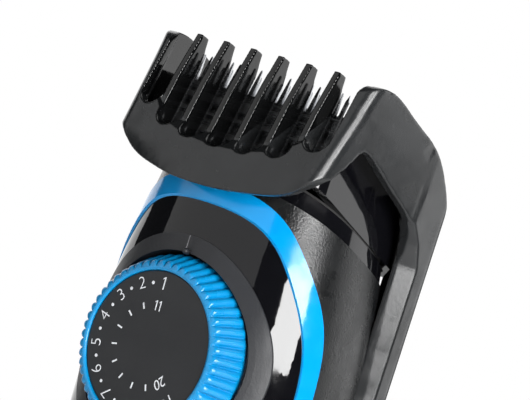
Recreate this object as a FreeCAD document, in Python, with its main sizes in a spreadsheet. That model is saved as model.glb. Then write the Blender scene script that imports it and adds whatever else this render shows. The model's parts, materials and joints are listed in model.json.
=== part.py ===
import FreeCAD, Part
import Sketcher
import math
import os

# Cordless beard trimmer with a sliding comb set by a dial.
# Frame: origin at the centre of the flat base, +Z up the handle, -Y is the dial side, +X is the
# right-hand side seen from the dial. Millimetres.

doc = FreeCAD.newDocument("beard_trimmer")
sheet = doc.addObject("Spreadsheet::Sheet", "Sizes")
V = FreeCAD.Vector
node_names = []


# ------------------------------------------------------------------ driving dimensions

driving = {
    # handle skin
    "wall": 2.6, "panel_depth": 1.7, "panel_thick": 1.5, "parting_y": 8.0, "base_cap_height": 3.0,
    "shell_top": 139.5, "shell_top_tilt": 20.0, "collar_height": 2.8, "reveal": 0.3, "gap": 0.1,
    # setting dial
    "dial_height": 116.0, "dial_front": -19.0, "disc_radius": 12.0, "disc_thick": 1.4,
    "knob_tip_radius": 13.5, "knob_base_radius": 15.3, "knob_depth": 6.2, "bezel_radius": 18.5,
    "bezel_inner_radius": 15.7, "bezel_skirt": 0.9, "cam_radius": 15.0, "cam_thick": 2.4,
    "cam_groove_depth": 1.7, "cam_start_radius": 4.2, "comb_travel": 9.0, "dial_sweep": 222.7,
    "pin_radius": 1.5, "pin_clearance": 0.06, "axle_radius": 2.0, "axle_clearance": 0.05,
    # comb slider
    "slider_y": -10.4, "slider_thick": 1.5, "tongue_half_width": 9.0, "wing_inner_x": 12.0,
    "wing_outer_x": 13.4, "lug_y": 13.5, "lug_depth": 3.0, "lug_low": 99.0, "lug_high": 105.0,
    "lug_reach": 21.1,
    # comb
    "comb_wall": 1.8, "comb_corner": 2.6, "comb_half_width": 22.6, "comb_low": 142.2, "comb_high": 168.0,
    "comb_ledge": 148.5, "ledge_slope": 0.9, "ledge_drop": 1.4, "rib_top": 165.4, "rib_pitch": 5.68,
    "rib_thick": 1.2, "rib_front": -18.1, "rib_lean": 17.1, "arm_low": 94.0, "arm_high": 153.0,
    "arm_inner_x": 19.5, "arm_front_y": 9.6, "arm_rear_y": 16.9, "arm_bevel": 2.5, "arm_corner": 2.5,
    # cutting head
    "blade_lean": 14.0, "blade_foot_y": -13.3, "blade_foot_z": 149.0, "blade_length": 14.0,
    "blade_half_width": 16.0, "blade_thick": 0.8, "tooth_pitch": 1.5, "tooth_gap": 0.75,
    "tooth_length": 4.5, "cutter_half_width": 13.0, "cutter_stroke": 1.2,
    # drive and power
    "motor_radius": 8.2, "motor_y": 3.5, "motor_low": 100.0, "motor_length": 25.0,
    "shaft_radius": 1.0, "cell_radius": 7.0, "cell_length": 49.0, "cell_low": 34.0, "cell_y": 5.0,
    "board_thick": 1.2, "board_y": -8.0, "board_low": 26.0, "board_length": 70.0,
    "board_half_width": 9.0, "button_height": 84.0, "button_radius": 5.5, "button_travel": 0.8,
    "button_clearance": 0.25, "socket_half_width": 7.0, "socket_half_depth": 3.6, "socket_y": 6.0,
    "socket_deep": 9.0,
    "screw_radius": 1.2,
}

for row, (alias, value) in enumerate(driving.items(), start=1):
    sheet.set(f"A{row}", alias.replace("_", " "))
    sheet.set(f"B{row}", str(value))
    sheet.setAlias(f"B{row}", alias)
doc.recompute()


def size(alias):
    return float(sheet.get(alias))


# Handle cross-sections from the foot up: height, half width, depth to the front, depth to the rear.
handle_stations = [
    (0.0, 15.0, 12.6, 14.2),
    (7.0, 16.5, 13.9, 15.2),
    (30.0, 17.2, 14.6, 16.0),
    (60.0, 18.4, 15.2, 16.8),
    (90.0, 20.8, 16.6, 17.6),
    (111.0, 21.7, 17.2, 17.8),
    (124.0, 21.1, 16.9, 17.6),
    (136.0, 19.5, 15.9, 16.8),
    (146.0, 17.9, 14.9, 15.8),
    (156.0, 16.6, 13.9, 14.4),
]
front_roundness = 2.4
rear_roundness = 3.2


# ------------------------------------------------------------------ helpers: plain shapes

def power(value, exponent):
    return math.copysign(abs(value) ** exponent, value)


def handle_wire(station, inset):
    """A closed oval at one station: rounder at the front, squarer at the rear."""
    height, half_width, front, rear = station
    points = []
    count = 36
    for k in range(count):
        turn = 2 * math.pi * (k + 0.5) / count
        side, depth = math.cos(turn), math.sin(turn)
        roundness = front_roundness if depth < 0 else rear_roundness
        reach = (front if depth < 0 else rear) - inset
        x = (half_width - inset) * power(side, 2 / roundness)
        y = reach * power(depth, 2 / roundness)
        points.append(V(x, y, height))
    curve = Part.BSplineCurve()
    curve.interpolate(points, PeriodicFlag=True)
    return Part.Wire([curve.toShape()])


def handle_solid(inset):
    return Part.makeLoft([handle_wire(station, inset) for station in handle_stations], True, False)


def side_prism(outline, x_low, x_high):
    """Extrude a closed wire drawn in the YZ plane from x_low to x_high."""
    face = Part.Face(outline)
    face.translate(V(x_low, 0, 0))
    return face.extrude(V(x_high - x_low, 0, 0))


def side_polygon(points):
    vectors = [V(0, y, z) for y, z in points]
    return Part.makePolygon(vectors + [vectors[0]])


def spline_edge(points):
    curve = Part.BSplineCurve()
    curve.interpolate(points)
    return curve.toShape()


def mirrored(shape):
    return shape.mirror(V(0, 0, 0), V(1, 0, 0))


def block(x_low, x_high, y_low, y_high, z_low, z_high):
    return Part.makeBox(x_high - x_low, y_high - y_low, z_high - z_low, V(x_low, y_low, z_low))


def rod(radius, start, direction, length):
    return Part.makeCylinder(radius, length, V(*start), V(*direction))


def half_space_below_tilt(height):
    """Everything under a plane that falls to the rear, through (y = 0, z = height)."""
    fall = math.tan(math.radians(size("shell_top_tilt")))
    reach = 60.0
    return side_prism(side_polygon([
        (-reach, height + reach * fall), (reach, height - reach * fall), (reach, -reach), (-reach, -reach),
    ]), -reach, reach)


def fixed_shape(label, shape):
    """A sub-part whose shape is made by surface and boolean functions."""
    solids = shape.Solids
    if len(solids) == 1:
        shape = solids[0]
    else:
        shape = Part.makeCompound(solids)
    part = doc.addObject("Part::Feature", label)
    part.Label = label
    part.Shape = shape
    node_names.append(part)
    return part


# ------------------------------------------------------------------ helpers: sketched bodies

def new_body(label):
    body = doc.addObject("PartDesign::Body", label)
    body.Label = label
    node_names.append(body)
    return body


def sketch(body, role, offset="0"):
    """An empty sketch on one of the body's own planes, moved along the plane's normal."""
    plane = next(p for p in body.Origin.OriginFeatures if p.Role == role)
    drawing = body.newObject("Sketcher::SketchObject", "Sketch")
    drawing.AttachmentSupport = [(plane, "")]
    drawing.MapMode = "FlatFace"
    drawing.setExpression("AttachmentOffset.Base.z", offset)
    return drawing


def bind(drawing, constraint, expression):
    index = drawing.addConstraint(constraint)
    drawing.setExpression(f"Constraints[{index}]", expression)


def draw_circle(drawing, radius, across="0", up="0"):
    circle = drawing.addGeometry(Part.Circle(V(1, 1, 0), V(0, 0, 1), 5.0))
    bind(drawing, Sketcher.Constraint("Radius", circle, 5.0), radius)
    bind(drawing, Sketcher.Constraint("DistanceX", -1, 1, circle, 3, 1.0), across)
    bind(drawing, Sketcher.Constraint("DistanceY", -1, 1, circle, 3, 1.0), up)


def draw_rectangle(drawing, left, right, low, high):
    corners = [V(-2, -2, 0), V(2, -2, 0), V(2, 2, 0), V(-2, 2, 0)]
    lines = [drawing.addGeometry(Part.LineSegment(corners[k], corners[(k + 1) % 4])) for k in range(4)]
    for k in range(4):
        drawing.addConstraint(Sketcher.Constraint("Coincident", lines[k], 2, lines[(k + 1) % 4], 1))
    for k in (0, 2):
        drawing.addConstraint(Sketcher.Constraint("Horizontal", lines[k]))
    for k in (1, 3):
        drawing.addConstraint(Sketcher.Constraint("Vertical", lines[k]))
    bind(drawing, Sketcher.Constraint("DistanceX", -1, 1, lines[0], 1, -2.0), left)
    bind(drawing, Sketcher.Constraint("DistanceX", -1, 1, lines[1], 1, 2.0), right)
    bind(drawing, Sketcher.Constraint("DistanceY", -1, 1, lines[0], 1, -2.0), low)
    bind(drawing, Sketcher.Constraint("DistanceY", -1, 1, lines[2], 1, 2.0), high)


def draw_profile(drawing, points):
    """A closed outline of straight lines; each point's two coordinates are expressions."""
    count = len(points)
    rough = [V(3 * math.cos(2 * math.pi * k / count), 3 * math.sin(2 * math.pi * k / count), 0)
             for k in range(count)]
    lines = [drawing.addGeometry(Part.LineSegment(rough[k], rough[(k + 1) % count])) for k in range(count)]
    for k in range(count):
        drawing.addConstraint(Sketcher.Constraint("Coincident", lines[k], 2, lines[(k + 1) % count], 1))
    for k, (across, up) in enumerate(points):
        bind(drawing, Sketcher.Constraint("DistanceX", -1, 1, lines[k], 1, rough[k].x), across)
        bind(drawing, Sketcher.Constraint("DistanceY", -1, 1, lines[k], 1, rough[k].y), up)


def extrude_feature(body, drawing, kind, length, backwards=False):
    feature = body.newObject("PartDesign::" + kind, kind)
    feature.Profile = drawing
    feature.setExpression("Length", length)
    feature.Reversed = backwards
    return feature


def spin_feature(body, drawing, kind, axis):
    feature = body.newObject("PartDesign::" + kind, kind)
    feature.Profile = drawing
    feature.ReferenceAxis = (drawing, [axis])
    feature.Angle = 360.0
    return feature


def pad(body, drawing, length):
    return extrude_feature(body, drawing, "Pad", length)


# ------------------------------------------------------------------ handle shells and front trim

def trim_edge(front_top, front_low, points):
    """Closed side view of everything in front of a line that curves round the handle."""
    clear = -40.0
    path = [V(0, y, z) for y, z in [front_top] + points + [front_low]]
    corners = [path[-1], V(0, clear, front_low[1]), V(0, clear, front_top[1]), path[0]]
    return Part.Wire([spline_edge(path)] + [Part.LineSegment(corners[k], corners[k + 1]).toShape()
                                            for k in range(3)])


def trim_outer_region():
    outline = trim_edge((-18.0, 144.8), (-18.0, 57.0), [
        (-15.0, 143.4), (-9.7, 136.2), (-4.4, 126.5), (-3.1, 115.0), (-5.2, 92.0), (-11.5, 70.0),
    ])
    return side_prism(outline, -40.0, 40.0)


def trim_inner_region():
    outline = trim_edge((-18.5, 141.6), (-18.5, 64.6), [
        (-15.4, 140.0), (-11.0, 132.4), (-7.2, 122.5), (-6.4, 114.0), (-8.6, 92.0), (-13.6, 74.0),
    ])
    return side_prism(outline, -40.0, 40.0)


def dial_cylinder(radius, y_front, y_rear):
    return rod(radius, (0, y_front, size("dial_height")), (0, 1, 0), y_rear - y_front)


def button_cylinder(radius, y_front, y_rear):
    return rod(radius, (0, y_front, size("button_height")), (0, 1, 0), y_rear - y_front)


light_height = 74.5
light_radius = 1.2
screw_places = [(-10.0, 19.0), (10.0, 19.0), (-13.2, 91.5), (13.2, 91.5)]
post_radius = 2.8
far = 60.0


def arm_recess():
    """The flat let into each side of the handle, where the comb's arms slide."""
    flat = size("arm_inner_x") - size("reveal")
    right = block(flat, far, size("arm_front_y") - size("reveal"), far, size("arm_low") - 1.0, 170.0)
    return right.fuse(mirrored(right))


def screw_rods(radius, y_low, y_high):
    rods = [rod(radius, (x, y_low, z), (0, 1, 0), y_high - y_low) for x, z in screw_places]
    return rods[0].fuse(rods[1:])


outer_handle = handle_solid(0.0)
inner_handle = handle_solid(size("wall"))
handle_skin = outer_handle.cut(inner_handle)
under_shell_top = half_space_below_tilt(size("shell_top"))


def shell_half(y_low, y_high, post_low, post_high, hole_radius):
    """One half of the hollow handle with its four screw posts."""
    slab = block(-far, far, y_low, y_high, size("base_cap_height") + 0.05, 200.0)
    shell = handle_skin.common(slab).common(under_shell_top)
    posts = screw_rods(post_radius, post_low, post_high).common(outer_handle)
    shell = shell.fuse(posts).cut(arm_recess())
    return shell.cut(screw_rods(hole_radius, post_low - 1.0, post_high + 1.0))


def make_front_shell():
    post_floor = -11.0
    shell = shell_half(-far, size("parting_y"), post_floor, size("parting_y"), 1.1)
    # the floor under the posts is closed again, so that the screw holes are blind
    shell = shell.fuse(screw_rods(post_radius, post_floor, post_floor + 6.0).common(outer_handle))
    recess = trim_outer_region().cut(handle_solid(size("panel_depth")))
    shell = shell.cut(recess)
    shell = shell.cut(dial_cylinder(size("bezel_inner_radius") + size("bezel_skirt") + 0.05, -far, -5.0))
    shell = shell.cut(button_cylinder(size("button_radius") + size("button_clearance"), -far, -5.0))
    shell = shell.cut(rod(light_radius + 0.02, (0, -far, light_height), (0, 1, 0), far - 5.0))
    return fixed_shape("front_shell", shell)


def make_rear_shell():
    shell = shell_half(size("parting_y") + 0.02, far, size("parting_y") + 0.02, far, 1.3)
    for x, z in screw_places:
        shell = shell.cut(rod(2.5, (x, 11.2, z), (0, 1, 0), far))
    slot_half = size("lug_depth") / 2 + 0.25
    end_room = 0.8
    slot = block(10.0, far, size("lug_y") - slot_half, size("lug_y") + slot_half,
                 size("lug_low") - end_room, size("lug_high") + size("comb_travel") + end_room)
    return fixed_shape("rear_shell", shell.cut(slot).cut(mirrored(slot)))


def make_accent_trim():
    proud = 0.35
    band = handle_solid(-proud).cut(handle_solid(size("panel_thick")))
    band = band.common(trim_outer_region()).cut(trim_inner_region())
    return fixed_shape("accent_trim", band)


def make_front_panel():
    panel = outer_handle.cut(handle_solid(size("panel_thick"))).common(trim_inner_region())
    panel = panel.cut(dial_cylinder(size("bezel_radius") + 0.02, -far, 0.0))
    panel = panel.cut(button_cylinder(size("button_radius") + size("button_clearance"), -far, 0.0))
    panel = panel.cut(rod(light_radius + 0.02, (0, -far, light_height), (0, 1, 0), far))
    return fixed_shape("front_panel", panel)


def make_dial_bezel():
    proud = 0.2
    skirt_rear = -11.6
    bore = size("bezel_inner_radius")
    proud_handle = handle_solid(-proud)
    ring = proud_handle.cut(handle_solid(size("panel_thick")))
    ring = ring.common(dial_cylinder(size("bezel_radius"), -far, 0.0))
    skirt = dial_cylinder(bore + size("bezel_skirt"), -far, skirt_rear).common(proud_handle)
    return fixed_shape("dial_bezel", ring.fuse(skirt).cut(dial_cylinder(bore, -far, 0.0)))


def make_neck_collar():
    """Gloss band that closes the top of the two shells and carries the cutting head."""
    outside = handle_solid(0.35)
    inside = handle_solid(size("wall"))
    band = half_space_below_tilt(size("shell_top") + size("collar_height"))
    band = band.cut(half_space_below_tilt(size("shell_top") + 0.02))
    return fixed_shape("neck_collar", outside.cut(inside).common(band).cut(arm_recess()))


def make_neck_seal():
    low = size("shell_top") + size("collar_height")
    band = half_space_below_tilt(low + 0.6).cut(half_space_below_tilt(low + 0.02))
    return fixed_shape("neck_seal", handle_solid(1.0).cut(handle_solid(size("wall"))).common(band))


def make_base_cap():
    foot = outer_handle.common(block(-far, far, -far, far, -1.0, size("base_cap_height")))
    spigot = handle_solid(size("wall") + size("gap"))
    spigot = spigot.cut(handle_solid(size("wall") + 1.6))
    spigot = spigot.common(block(-far, far, -far, far, size("base_cap_height") - 0.5, 7.0))
    socket_hole = block(-size("socket_half_width"), size("socket_half_width"),
                        size("socket_y") - size("socket_half_depth"),
                        size("socket_y") + size("socket_half_depth"), -5.0, 10.0)
    return fixed_shape("base_cap", foot.fuse(spigot).cut(socket_hole))


# ------------------------------------------------------------------ charging, cell and board

def make_charging_socket():
    body = new_body("charging_socket")
    outside = sketch(body, "XY_Plane")
    draw_rectangle(outside, "-Sizes.socket_half_width", "Sizes.socket_half_width",
                   "Sizes.socket_y - Sizes.socket_half_depth",
                   "Sizes.socket_y + Sizes.socket_half_depth")
    pad(body, outside, "Sizes.socket_deep + 1.4")
    mouth = sketch(body, "XY_Plane")
    draw_rectangle(mouth, "-Sizes.socket_half_width + 1.2", "Sizes.socket_half_width - 1.2",
                   "Sizes.socket_y - Sizes.socket_half_depth + 1.2",
                   "Sizes.socket_y + Sizes.socket_half_depth - 1.2")
    extrude_feature(body, mouth, "Pocket", "Sizes.socket_deep", backwards=True)


def make_socket_pins():
    body = new_body("socket_pins")
    for side in ("-", ""):
        drawing = sketch(body, "XY_Plane", "2.0")
        draw_circle(drawing, "0.6", side + "4.9", "Sizes.socket_y")
        pad(body, drawing, "Sizes.socket_deep - 2.0")
    return body


def make_battery_cell():
    body = new_body("battery_cell")
    drawing = sketch(body, "XY_Plane", "Sizes.cell_low")
    draw_circle(drawing, "Sizes.cell_radius", "0", "Sizes.cell_y")
    pad(body, drawing, "Sizes.cell_length")
    button = sketch(body, "XY_Plane", "Sizes.cell_low + Sizes.cell_length")
    draw_circle(button, "Sizes.cell_radius * 0.4", "0", "Sizes.cell_y")
    pad(body, button, "1.0")


def make_battery_tabs():
    tab_thick = 0.4
    cell_top = size("cell_low") + size("cell_length") + 1.02
    tabs = []
    for low in (size("cell_low") - tab_thick - 0.02, cell_top):
        tabs.append(block(-3.0, 3.0, size("cell_y") - 9.5, size("cell_y") + 4.0, low, low + tab_thick))
    return fixed_shape("battery_tabs", Part.makeCompound(tabs))


def make_circuit_board():
    body = new_body("circuit_board")
    drawing = sketch(body, "XZ_Plane", "-Sizes.board_y")
    draw_rectangle(drawing, "-Sizes.board_half_width", "Sizes.board_half_width",
                   "Sizes.board_low", "Sizes.board_low + Sizes.board_length")
    extrude_feature(body, drawing, "Pad", "Sizes.board_thick", backwards=True)


def make_board_parts():
    chips = [(-5.5, 1.5, 34.0, 41.0), (-4.0, 3.0, 50.0, 55.0), (2.0, 6.5, 60.0, 63.0), (-6.5, -2.0, 64.0, 67.0)]
    front, chip_height = size("board_y") - 0.01, 1.1
    return fixed_shape("board_parts", Part.makeCompound([
        block(left, right, front - chip_height, front, low, high) for left, right, low, high in chips
    ]))


def make_tact_switch():
    body = new_body("tact_switch")
    drawing = sketch(body, "XZ_Plane", "-Sizes.board_y + 0.01")
    draw_rectangle(drawing, "-3", "3", "Sizes.button_height - 3", "Sizes.button_height + 3")
    pad(body, drawing, "1.5")
    plunger = sketch(body, "XZ_Plane", "-Sizes.board_y + 1.5")
    draw_circle(plunger, "1.7", "0", "Sizes.button_height")
    pad(body, plunger, "0.6")


def make_status_light():
    body = new_body("status_light")
    drawing = sketch(body, "XZ_Plane", "-Sizes.board_y + 0.01")
    draw_circle(drawing, str(light_radius), "0", str(light_height))
    pad(body, drawing, "7.65")


def make_power_button():
    """A round key: cap through the panel, a flange behind the shell and a stem to the switch."""
    body = new_body("power_button")
    cap = sketch(body, "XZ_Plane", "12.0")
    draw_circle(cap, "Sizes.button_radius", "0", "Sizes.button_height")
    pad(body, cap, "4.9")
    flange = sketch(body, "XZ_Plane", "12.0")
    draw_circle(flange, "Sizes.button_radius + 1.0", "0", "Sizes.button_height")
    pad(body, flange, "0.8")
    stem = sketch(body, "XZ_Plane", "11.0")
    draw_circle(stem, "2", "0", "Sizes.button_height")
    pad(body, stem, "1.5")


def make_housing_screws():
    screws = []
    for x, z in screw_places:
        head = rod(2.3, (x, 11.22, z), (0, 1, 0), 1.5)
        shank = rod(size("screw_radius") - 0.12, (x, -3.0, z), (0, 1, 0), 15.0)
        screws.append(head.fuse(shank))
    return fixed_shape("housing_screws", Part.makeCompound(screws))


# ------------------------------------------------------------------ inner frame, motor and drive

def make_chassis():
    """Moulded plate behind the dial: it holds the dial axle and the motor bracket."""
    body = new_body("chassis")
    drawing = sketch(body, "XZ_Plane", "6.8")
    draw_rectangle(drawing, "-11", "11", "97.5", "136")
    extrude_feature(body, drawing, "Pad", "1.4", backwards=True)
    bore = sketch(body, "XZ_Plane", "6.8")
    draw_circle(bore, "Sizes.axle_radius", "0", "Sizes.dial_height")
    extrude_feature(body, bore, "Pocket", "1.4", backwards=False)


def make_dial_axle():
    body = new_body("dial_axle")
    drawing = sketch(body, "XZ_Plane", "5.4")
    draw_circle(drawing, "Sizes.axle_radius", "0", "Sizes.dial_height")
    pad(body, drawing, "12.0")


def make_dial_retainer():
    body = new_body("dial_retainer")
    drawing = sketch(body, "XZ_Plane", "16.8")
    draw_circle(drawing, "3.4", "0", "Sizes.dial_height")
    draw_circle(drawing, "Sizes.axle_radius", "0", "Sizes.dial_height")
    pad(body, drawing, "0.5")


def make_detent_spring():
    """Leaf on the chassis that clicks against the dial's rear face."""
    leaf = side_prism(side_polygon([
        (-6.82, 132.0), (-6.82, 127.0), (-9.9, 119.6), (-10.2, 119.6), (-7.2, 127.2), (-7.2, 132.0),
    ]), 9.6, 11.0)
    return fixed_shape("detent_spring", leaf)


def make_motor_can():
    body = new_body("motor_can")
    drawing = sketch(body, "XY_Plane", "Sizes.motor_low")
    draw_circle(drawing, "Sizes.motor_radius", "0", "Sizes.motor_y")
    pad(body, drawing, "Sizes.motor_length")
    boss = sketch(body, "XY_Plane", "Sizes.motor_low + Sizes.motor_length")
    draw_circle(boss, "3.2", "0", "Sizes.motor_y")
    pad(body, boss, "1.2")
    bore = sketch(body, "XY_Plane", "Sizes.motor_low + Sizes.motor_length - 4")
    draw_circle(bore, "Sizes.shaft_radius + 0.05", "0", "Sizes.motor_y")
    extrude_feature(body, bore, "Pocket", "6", backwards=True)


def make_motor_bracket():
    low, high = 110.0, 116.0
    axis_y = size("motor_y")
    ring = rod(size("motor_radius") + 1.3, (0, axis_y, low), (0, 0, 1), high - low)
    foot = block(-5.0, 5.0, -6.0, axis_y, low, high)
    clear = rod(size("motor_radius") + 0.02, (0, axis_y, low - 1.0), (0, 0, 1), high - low + 2.0)
    chassis_rear = block(-far, far, -far, -5.38, low - 1.0, high + 1.0)
    return fixed_shape("motor_bracket", ring.fuse(foot).cut([clear, chassis_rear]))


drive_low = 128.0
drive_thick = 3.0
drive_pin_radius = 0.9
drive_pin_top = 139.4


def make_motor_shaft():
    body = new_body("motor_shaft")
    drawing = sketch(body, "XY_Plane", "Sizes.motor_low + Sizes.motor_length - 3.9")
    draw_circle(drawing, "Sizes.shaft_radius", "0", "Sizes.motor_y")
    pad(body, drawing, "9.4")


def make_drive_eccentric():
    """Round hub on the motor shaft with an off-centre pin."""
    axis_y = size("motor_y")
    hub = rod(3.6, (0, axis_y, drive_low), (0, 0, 1), drive_thick)
    hub = hub.cut(rod(size("shaft_radius"), (0, axis_y, drive_low - 0.1), (0, 0, 1), 2.62))
    pin_root = drive_low + drive_thick - 0.3
    pin = rod(drive_pin_radius, (0, axis_y + size("cutter_stroke"), pin_root), (0, 0, 1),
              drive_pin_top - pin_root)
    return fixed_shape("drive_eccentric", hub.fuse(pin))


# ------------------------------------------------------------------ dial and comb slider

def make_dial_knob():
    """Flared ring: bored for the numbered disc in front, hub on the axle behind."""
    body = new_body("dial_knob")
    drawing = sketch(body, "XY_Plane", "Sizes.dial_height")
    draw_profile(drawing, [
        ("Sizes.axle_radius + Sizes.axle_clearance", "Sizes.dial_front + 2.4"),
        ("4.2", "Sizes.dial_front + 2.4"),
        ("4.2", "Sizes.dial_front + Sizes.disc_thick"),
        ("Sizes.disc_radius + 0.03", "Sizes.dial_front + Sizes.disc_thick"),
        ("Sizes.disc_radius + 0.03", "Sizes.dial_front - 0.25"),
        ("Sizes.knob_tip_radius - 0.5", "Sizes.dial_front - 0.25"),
        ("Sizes.knob_tip_radius", "Sizes.dial_front + 0.2"),
        ("Sizes.knob_tip_radius + 0.9", "Sizes.dial_front + 1.6"),
        ("Sizes.knob_base_radius", "Sizes.dial_front + 4.2"),
        ("Sizes.knob_base_radius", "Sizes.dial_front + Sizes.knob_depth"),
        ("Sizes.axle_radius + Sizes.axle_clearance", "Sizes.dial_front + Sizes.knob_depth"),
    ])
    spin_feature(body, drawing, "Revolution", "V_Axis")


def make_dial_disc():
    body = new_body("dial_disc")
    drawing = sketch(body, "XZ_Plane", "-Sizes.dial_front - Sizes.disc_thick + 0.01")
    draw_circle(drawing, "Sizes.disc_radius", "0", "Sizes.dial_height")
    pad(body, drawing, "Sizes.disc_thick - 0.01")


def spiral_groove(half_width, y_front, y_rear):
    """Arithmetic spiral: one dial sweep raises the follower by the comb travel."""
    centre_z = size("dial_height")
    sweep = math.radians(size("dial_sweep"))
    spare = math.radians(3.0)
    steps = 28

    rise = size("comb_travel") / sweep

    def edge_point(k, side):
        """A point at half a groove width from the spiral, square to its direction."""
        turn = -spare + (sweep + 2 * spare) * k / steps
        radius = size("cam_start_radius") + rise * turn
        away = V(-math.sin(turn), 0, math.cos(turn))
        along = V(-math.cos(turn), 0, -math.sin(turn)) * radius + away * rise
        square = V(along.z, 0, -along.x).normalize()
        if square.dot(away) < 0:
            square = -square
        return V(0, y_front, centre_z) + away * radius + square * (side * half_width)

    outer = [edge_point(k, 1) for k in range(steps + 1)]
    inner = [edge_point(k, -1) for k in range(steps + 1)]
    edges = [spline_edge(outer), Part.LineSegment(outer[-1], inner[-1]).toShape(),
             spline_edge(inner[::-1]), Part.LineSegment(inner[0], outer[0]).toShape()]
    groove = Part.Face(Part.Wire(edges)).extrude(V(0, y_rear - y_front, 0))
    for end in (0, steps):
        middle = (outer[end] + inner[end]) * 0.5
        groove = groove.fuse(rod(half_width, (middle.x, y_front, middle.z), (0, 1, 0), y_rear - y_front))
    return groove


def cam_front_y():
    return size("dial_front") + size("knob_depth") + 0.01


def make_cam_plate():
    front = cam_front_y()
    rear = front + size("cam_thick") - 0.01
    plate = dial_cylinder(size("cam_radius"), front, rear)
    plate = plate.cut(dial_cylinder(size("axle_radius") + size("axle_clearance"), front - 1.0, rear + 1.0))
    groove_half = size("pin_radius") + size("pin_clearance")
    plate = plate.cut(spiral_groove(groove_half, rear - size("cam_groove_depth"), rear + 1.0))
    return fixed_shape("cam_plate", plate)


def make_comb_slider():
    """Tongue with the follower pin, two wings round the motor and a lug through each side slot."""
    front = size("slider_y")
    rear = front + size("slider_thick")
    low, wing_top = size("lug_low") - 0.5, size("lug_high") + 0.5
    centre = size("dial_height")
    travel = size("comb_travel")
    axle_room = size("axle_radius") + 0.25
    tongue_half = size("tongue_half_width")
    tongue = block(-tongue_half, tongue_half, front, rear, low, centre + 7.0)
    slot_low = centre - travel
    slot = block(-axle_room, axle_room, front - 1, rear + 1, slot_low, centre)
    for end in (slot_low, centre):
        slot = slot.fuse(rod(axle_room, (0, front - 1, end), (0, 1, 0), rear - front + 2))
    bar = block(-size("wing_outer_x"), size("wing_outer_x"), front, rear, low, wing_top)
    lug_front = size("lug_y") - size("lug_depth") / 2
    lug_rear = size("lug_y") + size("lug_depth") / 2
    wing = block(size("wing_inner_x"), size("wing_outer_x"), front, lug_rear, low, wing_top)
    lug = block(size("wing_inner_x"), size("lug_reach"), lug_front, lug_rear, size("lug_low"), size("lug_high"))
    pin_root = size("cam_start_radius")
    pin = rod(size("pin_radius"), (0, front + 0.5, centre + pin_root), (0, -1, 0), 2.0)
    slider = tongue.fuse([bar, wing, lug, mirrored(wing), mirrored(lug)]).cut(slot).fuse(pin)
    return fixed_shape("comb_slider", slider.removeSplitter())


# ------------------------------------------------------------------ comb

def rib_front_y(z):
    lean = math.tan(math.radians(size("rib_lean")))
    return size("rib_front") + (z - size("comb_ledge")) * lean


# Slots between the ribs: place in the row, height of the round bottom.
slot_bottoms = [
    (-3, 152.3), (-2, 149.7), (-1, 148.8), (0, 148.6), (1, 148.8), (2, 149.7), (3, 152.3),
]
# Height at which the comb's arms pass into the hood's side walls.
arm_split = 140.0
# Edge of the window in the comb's side, from the chin over the peak down to the arm: y, z.
window_edge = [
    (-15.4, 134.0), (-15.9, 143.0), (-15.8, 147.5), (-14.6, 149.2), (-12.6, 151.3), (-10.9, 153.6),
    (-9.6, 154.7), (-8.2, 154.5), (-5.0, 153.0), (0.6, 150.1), (4.6, 148.1), (7.4, 145.9), (9.0, 143.4),
    (9.6, 141.0), (9.8, 138.0),
]


def comb_plan(z, front_y, bow, half_front, inset):
    """Plan outline of the comb's hood at one height: bowed front, round corners, straight sides.

    half_front is the outer half width just behind the front corners.
    """
    rear = size("arm_rear_y") if inset == 0 else 30.0
    corner = size("comb_corner") - inset
    on_arc = corner * (1 - math.sqrt(0.5))
    front = front_y + inset
    bend = front + bow
    side = size("comb_half_width") - inset
    right = [V(half_front - size("comb_corner"), bend, z), V(half_front - inset, bend + corner, z),
             V(side, 8.5, z), V(side, rear, z)]
    middle = V(half_front - inset - on_arc, bend + on_arc, z)
    left = [V(-p.x, p.y, p.z) for p in right]
    left_middle = V(-middle.x, middle.y, middle.z)
    return Part.Wire([
        Part.Arc(left[0], V(0, front, z), right[0]).toShape(),
        Part.Arc(right[0], middle, right[1]).toShape(),
        Part.LineSegment(right[1], right[2]).toShape(),
        Part.LineSegment(right[2], right[3]).toShape(),
        Part.LineSegment(right[3], left[3]).toShape(),
        Part.LineSegment(left[3], left[2]).toShape(),
        Part.LineSegment(left[2], left[1]).toShape(),
        Part.Arc(left[1], left_middle, left[0]).toShape(),
    ])


def front_face(half_edge, y, end):
    """Face across the front: one side is a spline mirrored left to right, the other a line at z = end.

    half_edge runs from the right-hand side to the middle as x, z.
    """
    edge = half_edge + [(-x, z) for x, z in reversed(half_edge[:-1])]
    points = [V(x, y, z) for x, z in edge]
    first, last = points[0], points[-1]
    lid = Part.makePolygon([last, V(last.x, y, end), V(first.x, y, end), first])
    return Part.Face(Part.Wire([spline_edge(points)] + lid.Edges))


def comb_loft(levels, inset):
    return Part.makeLoft([comb_plan(*level, inset) for level in levels], True, True)


def comb_hood(inset):
    """Leaning, flaring hood with a bowed chin in front of its foot.

    Each level is height, front, bow and outer half width in front. A ledge that rises towards
    the sides ends the chin at the top.
    """
    low, crease, top = size("comb_low"), size("comb_ledge") - 1.2, size("comb_high")
    hood = comb_loft([(low, rib_front_y(low), 2.6, 19.4), (148.0, rib_front_y(148.0), 0.7, 20.7),
                      (152.0, rib_front_y(152.0), 0.1, 21.0), (top, rib_front_y(top), 0.1, 22.5)], inset)
    chin = comb_loft([(low, -21.9, 4.0, 19.4), (148.0, -19.6, 1.1, 20.7), (160.0, -15.4, 1.0, 21.8)], inset)
    if inset > 0:
        crease -= size("ledge_drop")
    rise = [(22.0, 9.5), (19.1, 6.1), (17.4, 4.2), (15.3, 2.6), (12.6, 1.3), (7.0, 0.3), (0.0, 0.0)]
    above = front_face([(x, crease + up) for x, up in rise], -21.0, top)
    slope = V(0, 1.0, size("ledge_slope"))
    above.translate(slope * -4.0)
    return hood.fuse(chin.cut(above.extrude(slope * 30.0)))


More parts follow.
